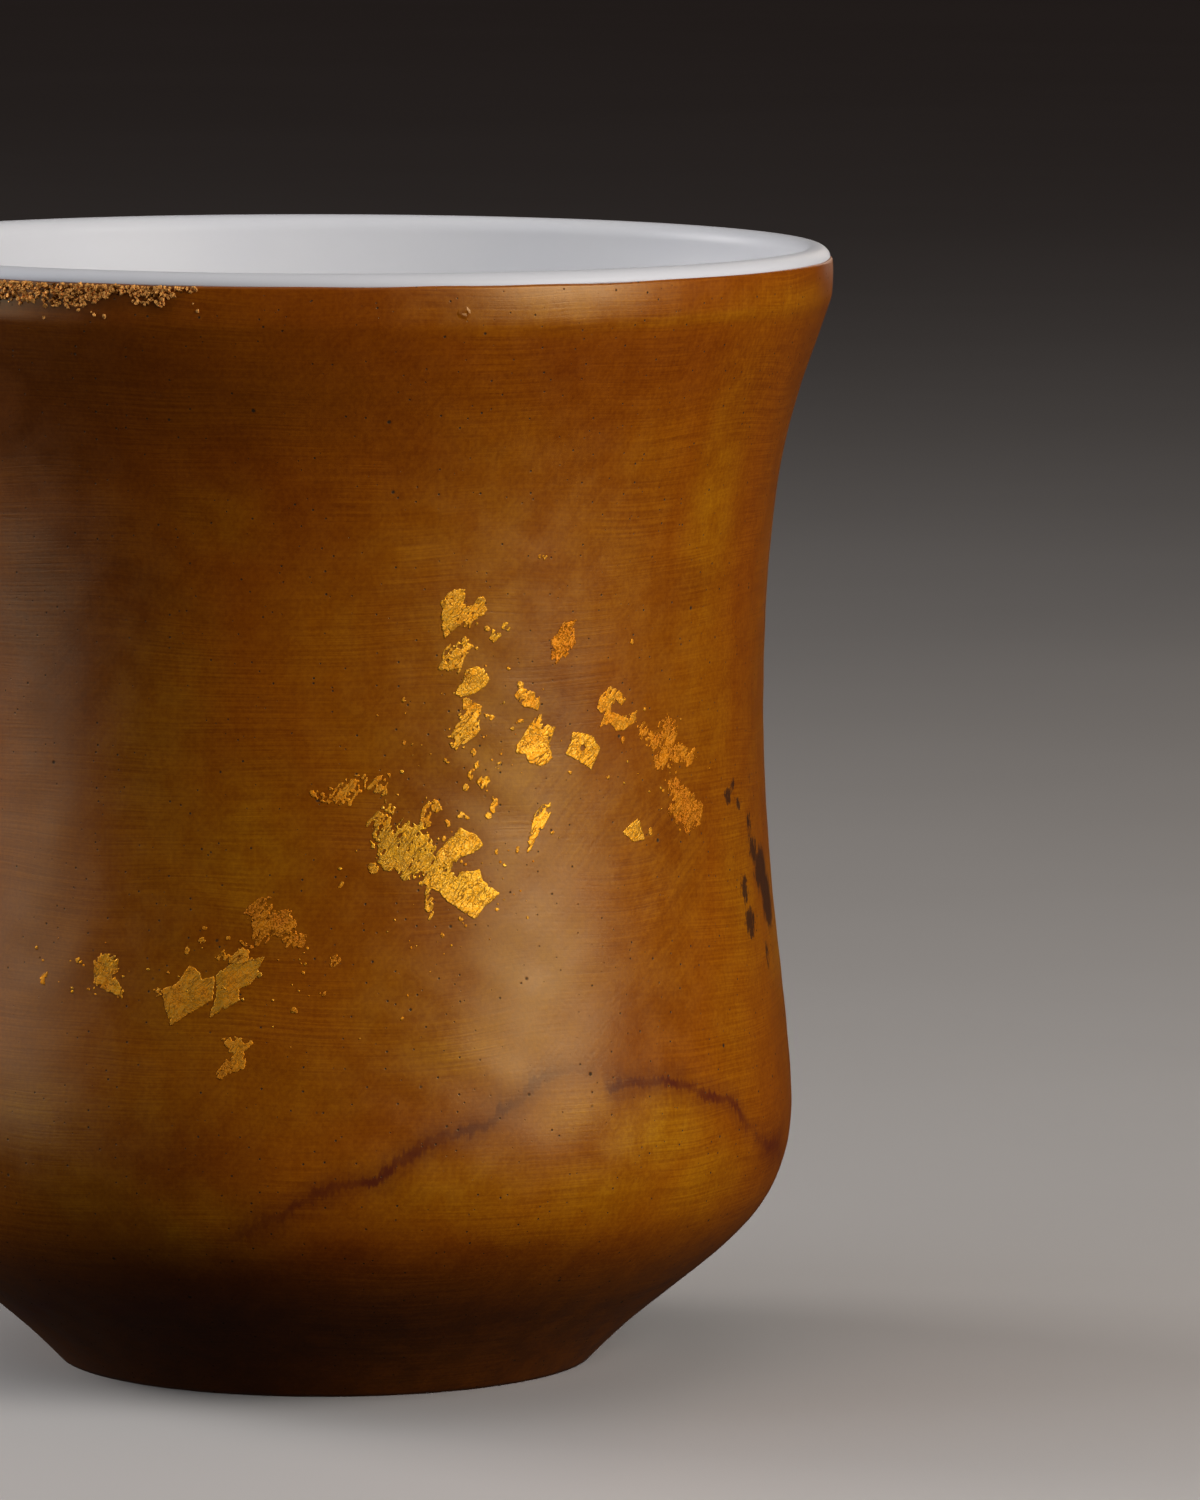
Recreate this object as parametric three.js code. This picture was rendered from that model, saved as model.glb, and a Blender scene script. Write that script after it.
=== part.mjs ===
// A handleless coffee cup: a white porcelain body inside a coat of amber lacquer.
// Millimetres, +Z up, the origin on the table at the middle of the foot.
// Both pieces are turned on one axis, so each is a closed profile carried once round +Z.
// A profile point is (radius, height).

import {
  CubicBezierCurve,
  EllipseCurve,
  Group,
  LatheGeometry,
  Mesh,
  MeshStandardMaterial,
  QuadraticBezierCurve,
  Vector2,
} from 'three';

// Outer shape of the lacquered cup, from the foot up
const cupHeight = 90;
const footRadius = 21.55;
const footSlope = 45.5; // degrees that the wall rises from the table as it leaves the foot
const bellyRadius = 37.8;
const bellyHeight = 21;
const waistRadius = 35.33;
const waistHeight = 53;
const bandRadius = 40.6;
const bandHeight = 3.1;
const bandBulge = 0.06; // the band's side swells this far beyond a straight line
const flareLean = 16; // degrees outward from upright where the flare meets the band

// How far each curve's handles reach, as shares of the height that the curve climbs
const footPull = 0.62;
const bellyPullBelow = 0.506;
const bellyPullAbove = 0.186;
const waistPullBelow = 0.42;
const waistPullAbove = 0.677;
const flarePull = 0.231;

// Lacquer coat
const coatThickness = 0.8;
const bondGap = 0.05; // clearance all over between the coat and the porcelain
const coatEdgeRound = 0.22; // rounding of the coat's top edge, under the lip

// Porcelain lip
const lipOverhang = 0.2; // the band stands this far beyond the edge of the white lip
const lipThickness = 2.3;
const crestInset = 1.2; // from the lip's outer edge in to its highest ring
const crestRise = 0.95; // from the lip's outer edge up to its highest ring
const lipInnerDrop = 1.5; // from the highest ring down to where the inside turns upright

// Porcelain body
const porcelainWall = 2;
const floorThickness = 3;
const floorFilletRise = 3.6; // height of the round between the floor and the inside wall
const footRingWidth = 2.4;
const footRecess = 1.6; // the underside is this far above the table inside the foot ring
const footRecessDraft = 0.5; // the recess narrows by this much towards its roof

// Fineness of the facets
const facetsAround = 56;
const footSteps = 6;
const bellySteps = 4;
const flareSteps = 6;
const lipSteps = 3;
const filletSteps = 3;

const bandTop = cupHeight - crestRise;
const bandBottom = bandTop - bandHeight;
const lipEdgeRadius = bandRadius - lipOverhang;
const lipInnerRadius = lipEdgeRadius - lipThickness;
const crestRadius = lipEdgeRadius - crestInset;
const backing = coatThickness + bondGap;

const radians = (degrees) => (degrees * Math.PI) / 180;

/** The outer line of the cup from the foot to the lower edge of the band. */
function bodyLine() {
  const foot = new Vector2(footRadius, 0);
  const belly = new Vector2(bellyRadius, bellyHeight);
  const waist = new Vector2(waistRadius, waistHeight);
  const flareEnd = new Vector2(bandRadius, bandBottom);
  const upright = new Vector2(0, 1);
  const leavingFoot = new Vector2(Math.cos(radians(footSlope)), Math.sin(radians(footSlope)));
  const leavingFlare = new Vector2(Math.sin(radians(flareLean)), Math.cos(radians(flareLean)));

  const lower = sweep(foot, leavingFoot, footPull, belly, upright, bellyPullBelow);
  const middle = sweep(belly, upright, bellyPullAbove, waist, upright, waistPullBelow);
  const upper = sweep(waist, upright, waistPullAbove, flareEnd, leavingFlare, flarePull);
  return [
    ...lower.getPoints(footSteps),
    ...middle.getPoints(bellySteps).slice(1),
    ...upper.getPoints(flareSteps).slice(1),
  ];
}

/** A curve between two points, whose handles follow the given directions. */
function sweep(start, startDirection, startPull, end, endDirection, endPull) {
  const rise = end.y - start.y;
  const startHandle = start.clone().addScaledVector(startDirection, rise * startPull);
  const endHandle = end.clone().addScaledVector(endDirection, -rise * endPull);
  return new CubicBezierCurve(start, startHandle, endHandle, end);
}

/** The same line moved inward by a distance, each corner mitred. */
function insetLine(line, distance) {
  return line.map((point, i) => {
    const before = line[Math.max(i - 1, 0)];
    const after = line[Math.min(i + 1, line.length - 1)];
    const into = i === 0 ? after.clone().sub(point) : point.clone().sub(before);
    const outOf = i === line.length - 1 ? into.clone() : after.clone().sub(point);
    const inwardFirst = new Vector2(-into.y, into.x).normalize();
    const inwardSecond = new Vector2(-outOf.y, outOf.x).normalize();
    const miter = inwardFirst.clone().add(inwardSecond).normalize();
    return point.clone().addScaledVector(miter, distance / miter.dot(inwardFirst));
  });
}

/** Where the stretch from one point to the next, or its extension, reaches a height. */
function reach(from, to, height) {
  const share = (height - from.y) / (to.y - from.y);
  return new Vector2(from.x + (to.x - from.x) * share, height);
}

/** The face between coat and porcelain, on the table below and at a given height above. */
function bondLine(distance, topHeight) {
  const outer = [...bodyLine(), new Vector2(bandRadius, bandTop)];
  const line = insetLine(outer, distance);
  const last = line.length - 1;
  line[0] = reach(line[0], line[1], 0);
  line[last] = reach(line[last - 1], line[last], topHeight);
  return line;
}

/** A solid of revolution from a profile of radii and heights. */
function turned(profile) {
  return new LatheGeometry(profile, facetsAround).rotateX(Math.PI / 2);
}

/** The amber skin: outside face, rounded top edge under the lip, and the face on the porcelain. */
function lacquerCoatProfile() {
  const edgeHeight = bandTop - bondGap;
  const bandStart = new Vector2(bandRadius, bandBottom);
  const bandEnd = new Vector2(bandRadius, edgeHeight - coatEdgeRound);
  const bandMiddle = new Vector2(bandRadius + 2 * bandBulge, (bandStart.y + bandEnd.y) / 2);
  const band = new QuadraticBezierCurve(bandStart, bandMiddle, bandEnd);
  const edge = new EllipseCurve(
    bandRadius - coatEdgeRound, edgeHeight - coatEdgeRound,
    coatEdgeRound, coatEdgeRound, 0, Math.PI / 2,
  );
  const inside = bondLine(coatThickness, edgeHeight).reverse();
  const profile = [
    ...bodyLine(),
    ...band.getPoints(2).slice(1),
    ...edge.getPoints(2).slice(1),
    ...inside,
  ];
  return [...profile, profile[0].clone()];
}

/** The round lip, from its outer edge over the highest ring to the upright inside. */
function lipLine() {
  const innerDrop = cupHeight - lipInnerDrop;
  const outside = new EllipseCurve(
    crestRadius, bandTop, crestInset, crestRise, 0, Math.PI / 2,
  );
  const inside = new EllipseCurve(
    crestRadius, innerDrop, crestRadius - lipInnerRadius, lipInnerDrop, Math.PI / 2, Math.PI,
  );
  return [...outside.getPoints(lipSteps), ...inside.getPoints(lipSteps).slice(1)];
}

/** The inside of the cup, from under the lip down to the floor's middle. */
function cavityLine() {
  const floorHeight = footRecess + floorThickness;
  const filletTop = floorHeight + floorFilletRise;
  const wall = insetLine(bodyLine(), backing + porcelainWall);
  const above = wall.findIndex((point) => point.y > filletTop);
  const start = reach(wall[above - 1], wall[above], filletTop);
  const corner = reach(wall[above - 1], wall[above], floorHeight);
  const end = new Vector2(corner.x - corner.distanceTo(start), floorHeight);
  const fillet = new QuadraticBezierCurve(start, corner, end);
  return [
    ...wall.slice(above).reverse(),
    ...fillet.getPoints(filletSteps),
    new Vector2(0, floorHeight),
  ];
}

/** The underside, from the middle of the recess out to the foot ring's inner edge. */
function undersideLine(ringInnerRadius) {
  return [
    new Vector2(0, footRecess),
    new Vector2(ringInnerRadius - footRecessDraft, footRecess),
    new Vector2(ringInnerRadius, 0),
  ];
}

/** The white body: underside, foot ring, outside under the coat, lip and inside. */
function porcelainProfile() {
  const outside = bondLine(backing, bandTop);
  return [
    ...undersideLine(outside[0].x - footRingWidth),
    ...outside,
    ...lipLine(),
    ...cavityLine(),
  ];
}

function porcelainCup() {
  const white = new MeshStandardMaterial({ color: 0xe6e4e6, roughness: 0.18, metalness: 0 });
  const mesh = new Mesh(turned(porcelainProfile()), white);
  mesh.name = 'porcelain_cup';
  return mesh;
}

function lacquerCoat() {
  const amber = new MeshStandardMaterial({ color: 0x7a3b0a, roughness: 0.35, metalness: 0 });
  const mesh = new Mesh(turned(lacquerCoatProfile()), amber);
  mesh.name = 'lacquer_coat';
  return mesh;
}

const cup = new Group();
cup.add(porcelainCup(), lacquerCoat());

export default cup;
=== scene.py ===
"""The finish of a handleless coffee cup: white porcelain in a coat of brushed amber lacquer,
with torn gold leaf over the front and gold crumbs along the rim band.

Shapes are worked out in millimetres and put into the meshes in metres. A place on the cup's
side is given by its turn, in degrees from the front and growing to the right, and its height.
"""
import math

import bpy
import numpy as np
from mathutils import Matrix, Vector


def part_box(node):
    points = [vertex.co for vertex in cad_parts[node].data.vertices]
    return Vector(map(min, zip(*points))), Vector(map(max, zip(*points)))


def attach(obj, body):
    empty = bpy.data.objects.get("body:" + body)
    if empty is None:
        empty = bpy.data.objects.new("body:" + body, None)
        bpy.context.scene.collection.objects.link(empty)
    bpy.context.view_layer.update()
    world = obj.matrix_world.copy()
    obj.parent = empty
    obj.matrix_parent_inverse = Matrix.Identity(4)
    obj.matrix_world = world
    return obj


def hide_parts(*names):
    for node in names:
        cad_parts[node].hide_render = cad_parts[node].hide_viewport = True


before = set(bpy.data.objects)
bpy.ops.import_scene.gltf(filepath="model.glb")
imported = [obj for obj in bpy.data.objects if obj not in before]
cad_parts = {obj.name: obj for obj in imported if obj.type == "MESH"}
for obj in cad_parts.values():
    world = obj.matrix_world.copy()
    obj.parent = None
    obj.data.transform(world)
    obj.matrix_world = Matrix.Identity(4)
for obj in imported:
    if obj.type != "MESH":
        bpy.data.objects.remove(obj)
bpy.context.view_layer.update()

MM = 0.001
TURN = 2 * math.pi

# Sizes of the cup, in millimetres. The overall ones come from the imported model
CUP_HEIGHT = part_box("porcelain_cup")[1].z / MM
COAT_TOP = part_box("lacquer_coat")[1].z / MM
FOOT_RADIUS = 21.55
FOOT_SLOPE = math.radians(45.5)
BELLY_RADIUS, BELLY_HEIGHT = 37.8, 21.0
WAIST_RADIUS, WAIST_HEIGHT = 35.33, 53.0
BAND_RADIUS, BAND_HEIGHT, BAND_BULGE = 40.6, 3.1, 0.05
FLARE_LEAN = math.radians(16)
COAT_THICKNESS = 0.8
COAT_EDGE_ROUND = 0.22
CORNER_SOFTNESS = 0.10
LIP_EDGE_RADIUS = BAND_RADIUS - 0.2
LIP_THICKNESS, LIP_INNER_DROP = 2.3, 1.5
CREST_INSET, CREST_RISE = 1.2, 0.95
WALL = 2.0
FLOOR_HEIGHT, FLOOR_FILLET_RISE = 4.6, 3.6
FOOT_RING_WIDTH, FOOT_RECESS, FOOT_RECESS_DRAFT = 2.4, 1.6, 0.5


def unit(lean):
    """The direction (across, up) of a line at an angle from level, in radians."""
    return np.array([math.cos(lean), math.sin(lean)])


def sweep(start, leaving, start_pull, end, arriving, end_pull, steps=160):
    """Points of a cubic curve from start to end.

    Its handles lie along the two directions, as long as the given shares of the rise:
    (1-t)^3 start + 3 t (1-t)^2 first handle + 3 t^2 (1-t) second handle + t^3 end.
    """
    start, end = np.array(start, float), np.array(end, float)
    rise = end[1] - start[1]
    first = start + leaving * rise * start_pull
    second = end - arriving * rise * end_pull
    t = np.linspace(0, 1, steps)[:, None]
    return ((1 - t) ** 3 * start + 3 * t * (1 - t) ** 2 * first
            + 3 * t ** 2 * (1 - t) * second + t ** 3 * end)


def arc(centre, radii, start, end, steps):
    """Points of an ellipse's arc: centre + (a cos t, b sin t), t from start to end in degrees."""
    t = np.radians(np.linspace(start, end, steps))
    return np.column_stack([centre[0] + radii[0] * np.cos(t), centre[1] + radii[1] * np.sin(t)])


def spaced(line, step):
    """The same line with its points a step apart: radius and height as functions of length."""
    length = np.concatenate([[0], np.cumsum(np.hypot(*np.diff(line, axis=0).T))])
    at = np.linspace(0, length[-1], max(2, round(length[-1] / step) + 1))
    return np.column_stack([np.interp(at, length, line[:, 0]), np.interp(at, length, line[:, 1])])


def softened(line, reach, step=0.02):
    """The line with its corners rounded: each point is the mean of its neighbours within reach."""
    fine = spaced(line, step)
    count = round(reach / step)
    ends = np.pad(fine, ((count, count), (0, 0)), mode="edge")
    total = np.concatenate([np.zeros((1, 2)), np.cumsum(ends, axis=0)])
    width = 2 * count + 1
    mean = (total[width:] - total[:-width]) / width
    edge = np.minimum(np.arange(len(fine)), np.arange(len(fine))[::-1])[:, None]
    share = np.clip(edge / count, 0, 1)
    return fine * (1 - share) + mean * share


def inset(line, distance):
    """The line moved inward by a distance along its own normals."""
    along = np.gradient(line, axis=0)
    along /= np.hypot(*along.T)[:, None]
    return line + distance * np.column_stack([-along[:, 1], along[:, 0]])


BAND_BOTTOM = CUP_HEIGHT - CREST_RISE - BAND_HEIGHT
UPRIGHT = unit(math.pi / 2)
body_line = np.vstack([
    sweep((FOOT_RADIUS, 0), unit(FOOT_SLOPE), 0.62,
          (BELLY_RADIUS, BELLY_HEIGHT), UPRIGHT, 0.506),
    sweep((BELLY_RADIUS, BELLY_HEIGHT), UPRIGHT, 0.186,
          (WAIST_RADIUS, WAIST_HEIGHT), UPRIGHT, 0.42)[1:],
    sweep((WAIST_RADIUS, WAIST_HEIGHT), UPRIGHT, 0.677,
          (BAND_RADIUS, BAND_BOTTOM), unit(math.pi / 2 - FLARE_LEAN), 0.231)[1:],
])
band_swell = np.linspace(0, 1, 12)[1:]
band_line = np.column_stack([
    BAND_RADIUS + BAND_BULGE * np.sin(math.pi * band_swell),
    BAND_BOTTOM + (COAT_TOP - COAT_EDGE_ROUND - BAND_BOTTOM) * band_swell,
])
wall_line = softened(np.vstack([body_line, band_line]), CORNER_SOFTNESS)
wall_slope = np.gradient(wall_line[:, 0], wall_line[:, 1])

# The lacquer's own unevenness: waves round the cup (per turn) and up it (per mm), their heights
# in mm, and the length over which they fade at the coat's ends
rng = np.random.default_rng(41)
WAVES = 26
FADE_LENGTH = 3
waves_round = rng.integers(2, 44, WAVES)
waves_up = rng.normal(0, 0.85, WAVES)
wave_starts = rng.uniform(0, TURN, WAVES)
wave_heights = 0.011 * rng.uniform(0.4, 1, WAVES) / (1 + 0.05 * waves_round)


def unevenness(angle, height):
    """How far the lacquer stands off its true line: a sum of waves, at most zero, gone at its ends."""
    total = np.zeros(np.broadcast(angle, height).shape)
    for per_turn, per_mm, start, tall in zip(waves_round, waves_up, wave_starts, wave_heights):
        total += tall * (np.cos(per_turn * angle + per_mm * height + start) - 1)
    fade = np.clip((COAT_TOP - 1 - height) / FADE_LENGTH, 0, 1)
    return total * fade * np.clip((height - 0.3) / FADE_LENGTH, 0, 1)


def round_axis(radius, angle, height):
    """Points (r sin a, -r cos a, z) at an angle a from the front."""
    across, deep = radius * np.sin(angle), -radius * np.cos(angle)
    return np.stack(np.broadcast_arrays(across, deep, height), -1)


def on_wall(angle, height, lift=0.0):
    """Points on the lacquer, moved out along the wall's own normal by lift."""
    radius = np.interp(height, wall_line[:, 1], wall_line[:, 0])
    slope = np.interp(height, wall_line[:, 1], wall_slope)
    steep = 1 / np.sqrt(1 + slope ** 2)
    out = lift + unevenness(angle, height)
    return round_axis(radius + out * steep, angle, height - out * slope * steep)


def grid_faces(rows, columns, closed_rows=False):
    """Quads between neighbouring rows of a grid whose columns close on themselves."""
    row = np.arange(rows if closed_rows else rows - 1)[:, None]
    column = np.arange(columns)[None, :]
    below, above = row * columns, (row + 1) % rows * columns
    after = (column + 1) % columns
    corners = [below + column, below + after, above + after, above + column]
    return np.stack(np.broadcast_arrays(*corners), -1).reshape(-1, 4)


def make_piece(name, points, faces, material):
    """A smooth mesh from points in millimetres, riding on the cup's one body."""
    mesh = bpy.data.meshes.new(name)
    mesh.from_pydata((points.reshape(-1, 3) * MM).tolist(), [], [list(f) for f in faces])
    mesh.polygons.foreach_set("use_smooth", np.ones(len(mesh.polygons), bool))
    mesh.materials.append(material)
    mesh.validate()
    mesh.update()
    piece = bpy.data.objects.new(name, mesh)
    bpy.context.scene.collection.objects.link(piece)
    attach(piece, "root")
    return piece


def add_field(piece, name, values):
    """Keeps a smooth field over the piece's points, for its material to read."""
    field = piece.data.attributes.new(name, "FLOAT", "POINT")
    field.data.foreach_set("value", np.asarray(values, np.float32).ravel())


class Shader:
    """A material's or a group's nodes, with short ways to add and join them."""

    def __init__(self, tree):
        self.tree = tree

    def join(self, value, socket):
        """Links a node's output to the socket, or sets the socket to a plain value."""
        if isinstance(value, bpy.types.NodeSocket):
            self.tree.links.new(value, socket)
        else:
            socket.default_value = value

    def add(self, kind, values, **settings):
        node = self.tree.nodes.new(kind)
        for key, value in settings.items():
            setattr(node, key, value)
        for key, value in values.items():
            self.join(value, node.inputs[key])
        return node

    def math(self, operation, a, b=0.0, clamp=False):
        node = self.add("ShaderNodeMath", {0: a, 1: b}, operation=operation, use_clamp=clamp)
        return node.outputs[0]

    def plus(self, a, b):
        return self.math("ADD", a, b)

    def minus(self, a, b):
        return self.math("SUBTRACT", a, b)

    def times(self, a, b):
        return self.math("MULTIPLY", a, b)

    def away(self, value, middle):
        """How far the value lies from a middle one, on either side."""
        return self.math("ABSOLUTE", self.minus(value, middle))

    def remap(self, value, low, high, to_low=0.0, to_high=1.0):
        """The value carried smoothly from one range to another, and held at its ends."""
        values = {"Value": value, "From Min": low, "From Max": high,
                  "To Min": to_low, "To Max": to_high}
        node = self.add("ShaderNodeMapRange", values, interpolation_type="SMOOTHSTEP")
        return node.outputs["Result"]

    def mix(self, share, a, b, blend="MIX"):
        values = {0: share, 6: a, 7: b}
        return self.add("ShaderNodeMix", values, data_type="RGBA", blend_type=blend).outputs[2]

    def noise(self, vector, scale, detail=2.0, roughness=0.5, output="Fac"):
        values = {"Vector": vector, "Scale": scale, "Detail": detail, "Roughness": roughness}
        return self.add("ShaderNodeTexNoise", values).outputs[output]

    def field(self, name):
        return self.add("ShaderNodeAttribute", {}, attribute_name=name).outputs["Fac"]

    def place(self, scale=(1, 1, 1), rotation=(0, 0, 0)):
        """Object coordinates in millimetres, scaled and turned."""
        source = self.add("ShaderNodeTexCoord", {}).outputs["Object"]
        values = {"Vector": source, "Scale": tuple(s / MM for s in scale), "Rotation": rotation}
        return self.add("ShaderNodeMapping", values).outputs["Vector"]

    def group(self, tree, **values):
        """A shared group's output, with its inputs given by name."""
        values = {key.replace("_", " "): value for key, value in values.items()}
        return self.add("ShaderNodeGroup", values, node_tree=tree).outputs[0]


def new_group(name, output, inputs):
    """An empty node group: its shader helper, its inputs (one vector, else numbers), its output."""
    tree = bpy.data.node_groups.new(name, "ShaderNodeTree")
    for label, value in inputs.items():
        kind = "NodeSocketVector" if label == "Vector" else "NodeSocketFloat"
        tree.interface.new_socket(label, in_out="INPUT", socket_type=kind).default_value = value
    tree.interface.new_socket(output, in_out="OUTPUT", socket_type="NodeSocketFloat")
    s = Shader(tree)
    given = s.add("NodeGroupInput", {}).outputs
    return s, given, s.add("NodeGroupOutput", {}).inputs[output]


def cloud_group():
    """Soft clouds: noise drawn into a mask between two levels."""
    s, given, out = new_group("soft_cloud", "Mask", {
        "Vector": (0, 0, 0), "Scale": 0.1, "Detail": 3.0, "Low": 0.4, "High": 0.6})
    noise = s.noise(given["Vector"], given["Scale"], given["Detail"], 0.55)
    s.join(s.remap(noise, given["Low"], given["High"]), out)
    return s.tree


def pit_group():
    """Small round pits: the cells of a random lattice whose middle lies close to the surface."""
    s, given, out = new_group("fine_pits", "Mask", {
        "Vector": (0, 0, 0), "Cells per mm": 1.0, "Size": 0.1, "Share": 0.5})
    cells = s.add("ShaderNodeTexVoronoi", {"Vector": given["Vector"],
                                           "Scale": given["Cells per mm"]}).outputs
    pick = s.add("ShaderNodeSeparateColor", {"Color": cells["Color"]}).outputs
    size = s.times(s.remap(pick["Red"], 0, 1, 0.45, 1), given["Size"])
    near = s.math("SUBTRACT", 1, s.math("DIVIDE", cells["Distance"], size), clamp=True)
    shown = s.math("LESS_THAN", pick["Green"], given["Share"])
    s.join(s.times(s.remap(near, 0, 0.6), shown), out)
    return s.tree


def stroke_group():
    """Marks of a wide brush drawn round the cup: noise stretched level, bent a little."""
    s, given, out = new_group("brush_strokes", "Height", {
        "Vector": (0, 0, 0), "Length": 6.0, "Width": 0.3, "Bend": 0.5})
    drift = s.noise(given["Vector"], 0.05, 1.0)
    lift = s.times(s.minus(drift, 0.5), given["Bend"])
    axes = s.add("ShaderNodeSeparateXYZ", {"Vector": given["Vector"]}).outputs
    across = s.math("DIVIDE", axes["X"], given["Length"])
    deep = s.math("DIVIDE", axes["Y"], given["Length"])
    up = s.math("DIVIDE", s.plus(axes["Z"], lift), given["Width"])
    joined = s.add("ShaderNodeCombineXYZ", {"X": across, "Y": deep, "Z": up}).outputs[0]
    s.join(s.noise(joined, 1.0, 2.0, 0.6), out)
    return s.tree


SOFT_CLOUD, FINE_PITS, BRUSH_STROKES = cloud_group(), pit_group(), stroke_group()


def new_material(name):
    """A material with an empty Principled surface: the shader helper and the surface's inputs."""
    material = bpy.data.materials.new(name)
    material.use_nodes = True
    surface = material.node_tree.nodes["Principled BSDF"].inputs
    return material, Shader(material.node_tree), surface


def finish_surface(s, surface, colour, roughness, relief):
    """Gives a surface its colour, its roughness and its relief in millimetres."""
    bump = s.add("ShaderNodeBump", {"Height": relief, "Distance": MM, "Strength": 1.0})
    s.join(colour, surface["Base Color"])
    s.join(roughness, surface["Roughness"])
    s.join(bump.outputs[0], surface["Normal"])


# The lacquer's colours; the olive and honey tones are partly painted highlight and the shade tone is
# painted shade
DEEP_AMBER, AMBER = (0.330, 0.073, 0.0008, 1), (0.430, 0.115, 0.0010, 1)
LIGHT_AMBER = (0.520, 0.140, 0.0010, 1)
OLIVE_AND_HIGHLIGHT_TONE, HONEY_AND_HIGHLIGHT_TONE = (0.450, 0.185, 0.0030, 1), (0.610, 0.258, 0.0012, 1)
RUST_TONE, SHADE_AND_DARK_TONE = (0.210, 0.036, 0.0012, 1), (0.080, 0.024, 0.002, 1)
VEIN_TONE, SMOKE_TONE = (0.105, 0.014, 0.005, 1), (0.035, 0.013, 0.007, 1)
PIT_TONE, BLISTER_TONE = (0.020, 0.005, 0.002, 1), (0.120, 0.024, 0.003, 1)
LACQUER_SHEEN = (1.0, 0.73, 0.36, 1)


def lacquer_material():
    """Amber lacquer: clouds of olive, honey and rust, purple-brown veins, a smoky smear, brush
    strokes and pits. Some olive and honey clouds are painted highlight and the dark patches are
    painted shade. The veins and clouds come from fields kept on the coat's points."""
    material, s, surface = new_material("amber_lacquer")
    point = s.place()
    drift = s.group(SOFT_CLOUD, Vector=point, Scale=0.055, Detail=4.0, Low=0.3, High=0.7)
    small = s.group(SOFT_CLOUD, Vector=point, Scale=0.4, Detail=5.0, Low=0.25, High=0.75)
    grain = s.group(SOFT_CLOUD, Vector=point, Scale=3.2, Detail=3.0, Low=0.2, High=0.8)
    patch = s.group(SOFT_CLOUD, Vector=point, Scale=0.11, Detail=2.0, Low=0.42, High=0.62)
    strokes = s.group(BRUSH_STROKES, Vector=point, Length=11.0, Width=0.16, Bend=2.6)
    slanted = s.group(BRUSH_STROKES, Vector=s.place(rotation=(0, 0.85, 0.3)),
                      Length=7.0, Width=0.40, Bend=4.0)
    upright = s.group(BRUSH_STROKES, Vector=s.place((1.0, 1.0, 0.02)),
                      Length=0.35, Width=0.4, Bend=0.0)
    pits = s.math("MAXIMUM",
                  s.group(FINE_PITS, Vector=point, Cells_per_mm=1.25, Size=0.16, Share=0.95),
                  s.group(FINE_PITS, Vector=point, Cells_per_mm=0.38, Size=0.085, Share=0.9))

    colour = s.mix(drift, DEEP_AMBER, AMBER)
    colour = s.mix(s.times(small, 0.22), colour, LIGHT_AMBER)
    # The olive and honey clouds are partly painted highlight; the dark clouds field is mostly painted
    # shade
    for field, cloud, in_hollows, on_clouds in (
            ("olive_and_highlight", OLIVE_AND_HIGHLIGHT_TONE, 0.6, 1.0), ("honey_and_highlight", HONEY_AND_HIGHLIGHT_TONE, 0.55, 1.0),
            ("rust", RUST_TONE, 1.0, 0.6), ("shade_and_dark_cloud", SHADE_AND_DARK_TONE, 1.0, 0.8)):
        share = s.times(s.field(field), s.remap(small, 0, 1, in_hollows, on_clouds))
        colour = s.mix(share, colour, cloud)

    tone = s.remap(grain, 0, 1, 0.65, 0.78)
    for marks, amount in (
            (strokes, s.remap(patch, 0, 1, 0.07, 0.20)),
            (upright, s.plus(s.field("combed"), 0.035)),
            (slanted, s.plus(s.remap(patch, 0, 0.6, 0.06, 0), s.field("scratched")))):
        tone = s.plus(tone, s.times(s.remap(marks, 0.3, 0.7, -0.5, 0.5), amount))
    shade = s.add("ShaderNodeCombineColor", {"Red": tone, "Green": s.math("POWER", tone, 1.4),
                                             "Blue": tone}).outputs[0]
    colour = s.mix(1.0, colour, shade, "MULTIPLY")

    hairs = s.noise(s.place((3.2, 3.2, 0.5)), 1.0)
    patchy = s.noise(point, 0.42)
    wander = s.noise(point, 0.55, 4.0, 0.6)
    bleed = s.plus(s.remap(wander, 0, 1, -0.5, 0.5), s.remap(hairs, 0.3, 0.7, -0.22, 0.22))
    for vein, half_width in (("vein", 0.86), ("low_vein", 0.55)):
        off = s.math("ABSOLUTE", s.plus(s.field(vein), bleed))
        core = s.times(s.remap(off, 0.10, half_width, 1, 0), s.remap(patchy, 0.35, 0.6, 0.75, 1.0))
        halo = s.times(s.remap(off, 0.2, half_width * 2.4, 1, 0), 0.45)
        line = s.times(s.math("MAXIMUM", core, halo), s.field(vein + "_strength"))
        colour = s.mix(line, colour, VEIN_TONE)

    worn = s.noise(s.place((2.4, 2.4, 0.9)), 1.0, 5.0, 0.75)
    smear = s.remap(s.plus(s.field("smear"), worn), 0.97, 1.10)
    colour = s.mix(s.times(smear, 0.88), colour, SMOKE_TONE)
    colour = s.mix(pits, colour, PIT_TONE)
    ring = s.remap(s.away(s.field("blister"), 0.38), 0.0, 0.20, 1, 0)
    colour = s.mix(s.times(ring, 0.35), colour, BLISTER_TONE)

    surface["Specular Tint"].default_value = LACQUER_SHEEN
    surface["IOR"].default_value = 1.62
    gloss = s.plus(s.remap(small, 0, 1, 0.30, 0.37), s.times(pits, 0.4))
    relief = s.times(strokes, s.remap(patch, 0, 1, 0.004, 0.009))
    for part, tall in ((slanted, s.remap(patch, 0, 0.6, 0.006, 0.0)), (grain, 0.0025),
                       (ring, 0.05), (pits, -0.015)):
        relief = s.plus(relief, s.times(part, tall))
    finish_surface(s, surface, colour, gloss, relief)
    return material


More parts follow.
